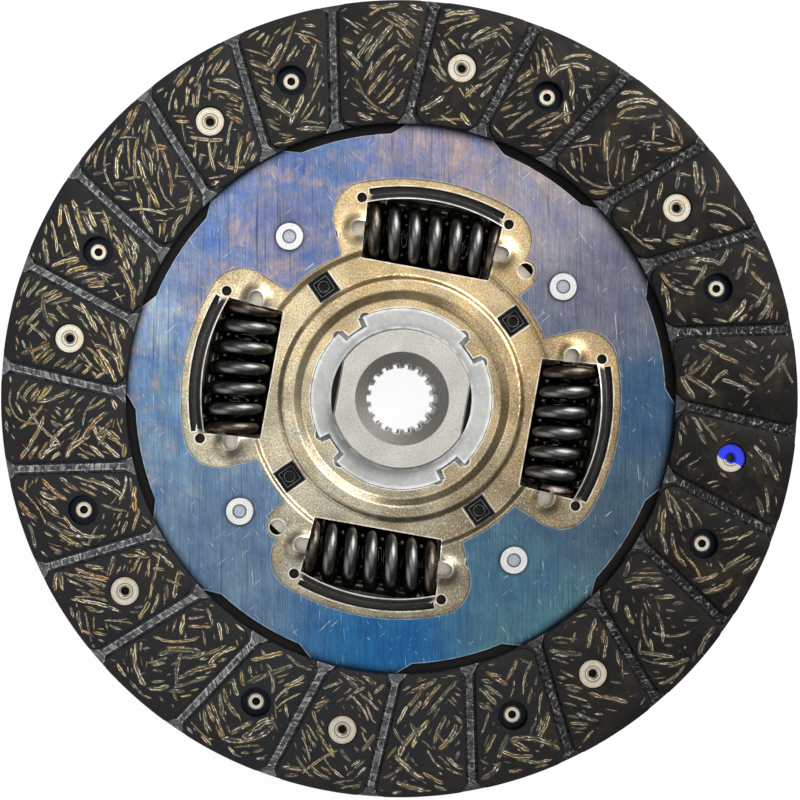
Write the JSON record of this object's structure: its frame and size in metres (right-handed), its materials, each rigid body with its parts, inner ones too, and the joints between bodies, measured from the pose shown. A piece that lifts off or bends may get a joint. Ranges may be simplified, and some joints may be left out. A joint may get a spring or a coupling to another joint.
{
  "type": "clutch disc",
  "caption": "Dry clutch disc: grooved friction facings riveted to a blued cushion plate, with a coil-spring torsion damper and a splined hub.",
  "frame": {"origin": "on the axis of the splined bore, in the middle plane of the cushion plate between the two facings", "axes": "+Z along the bore axis towards the side with the cover plate; X and Y run through the middles of the four spring pockets"},
  "size_m": [0.23, 0.23, 0.0227],
  "materials": {
    "friction_material": "moulded friction material, near black, with light yarn and brass wire showing",
    "blued_spring_steel": "heat-blued, brushed and scratched, from steel blue to violet and straw",
    "gold_plated_steel": "yellow-passivated, fine sparkle",
    "outer_spring_steel": "oiled black, glossy",
    "inner_spring_steel": "oiled black",
    "hub_steel": "machined, fine speckle",
    "rivet_steel": "plated, bright",
    "pin_steel": "zinc, bright",
    "white_plastic": "natural nylon, slightly clear",
    "black_plastic": "glass-filled nylon, black",
    "disc_spring_steel": "hardened spring steel"
  },
  "bodies": {
    "hub_body": {"hub": "hub_steel"},
    "disc_body": {"cover_plate": "gold_plated_steel", "retaining_plate": "gold_plated_steel", "cushion_plate": "blued_spring_steel", "facing_front": "friction_material", "facing_rear": "friction_material", "facing_rivets_front": "rivet_steel", "facing_rivets_rear": "rivet_steel", "stop_pins": "pin_steel", "guide_bush": "white_plastic", "front_friction_washer": "black_plastic", "rear_friction_washer": "black_plastic", "disc_spring": "disc_spring_steel"},
    "spring_body": {"outer_spring_1": "outer_spring_steel", "outer_spring_2": "outer_spring_steel", "outer_spring_3": "outer_spring_steel", "outer_spring_4": "outer_spring_steel", "inner_spring_1": "inner_spring_steel", "inner_spring_2": "inner_spring_steel", "inner_spring_3": "inner_spring_steel", "inner_spring_4": "inner_spring_steel"}
  },
  "joints": [
    {"name": "damper_twist", "type": "hinge", "parent": "hub_body", "child": "disc_body", "pos_m": [0, 0, 0], "axis": [0, 0, 1], "range_deg": [-8, 10], "stiffness_Nm_per_rad": 600, "deforming": ["outer_spring_1", "outer_spring_2", "outer_spring_3", "outer_spring_4", "inner_spring_1", "inner_spring_2", "inner_spring_3", "inner_spring_4"]},
    {"name": "springs_follow", "type": "hinge", "parent": "hub_body", "child": "spring_body", "pos_m": [0, 0, 0], "axis": [0, 0, 1], "range_deg": [-4, 5]}
  ],
  "couplings": [
    {"joint": "springs_follow", "follows": "damper_twist", "ratio": 0.5}
  ]
}
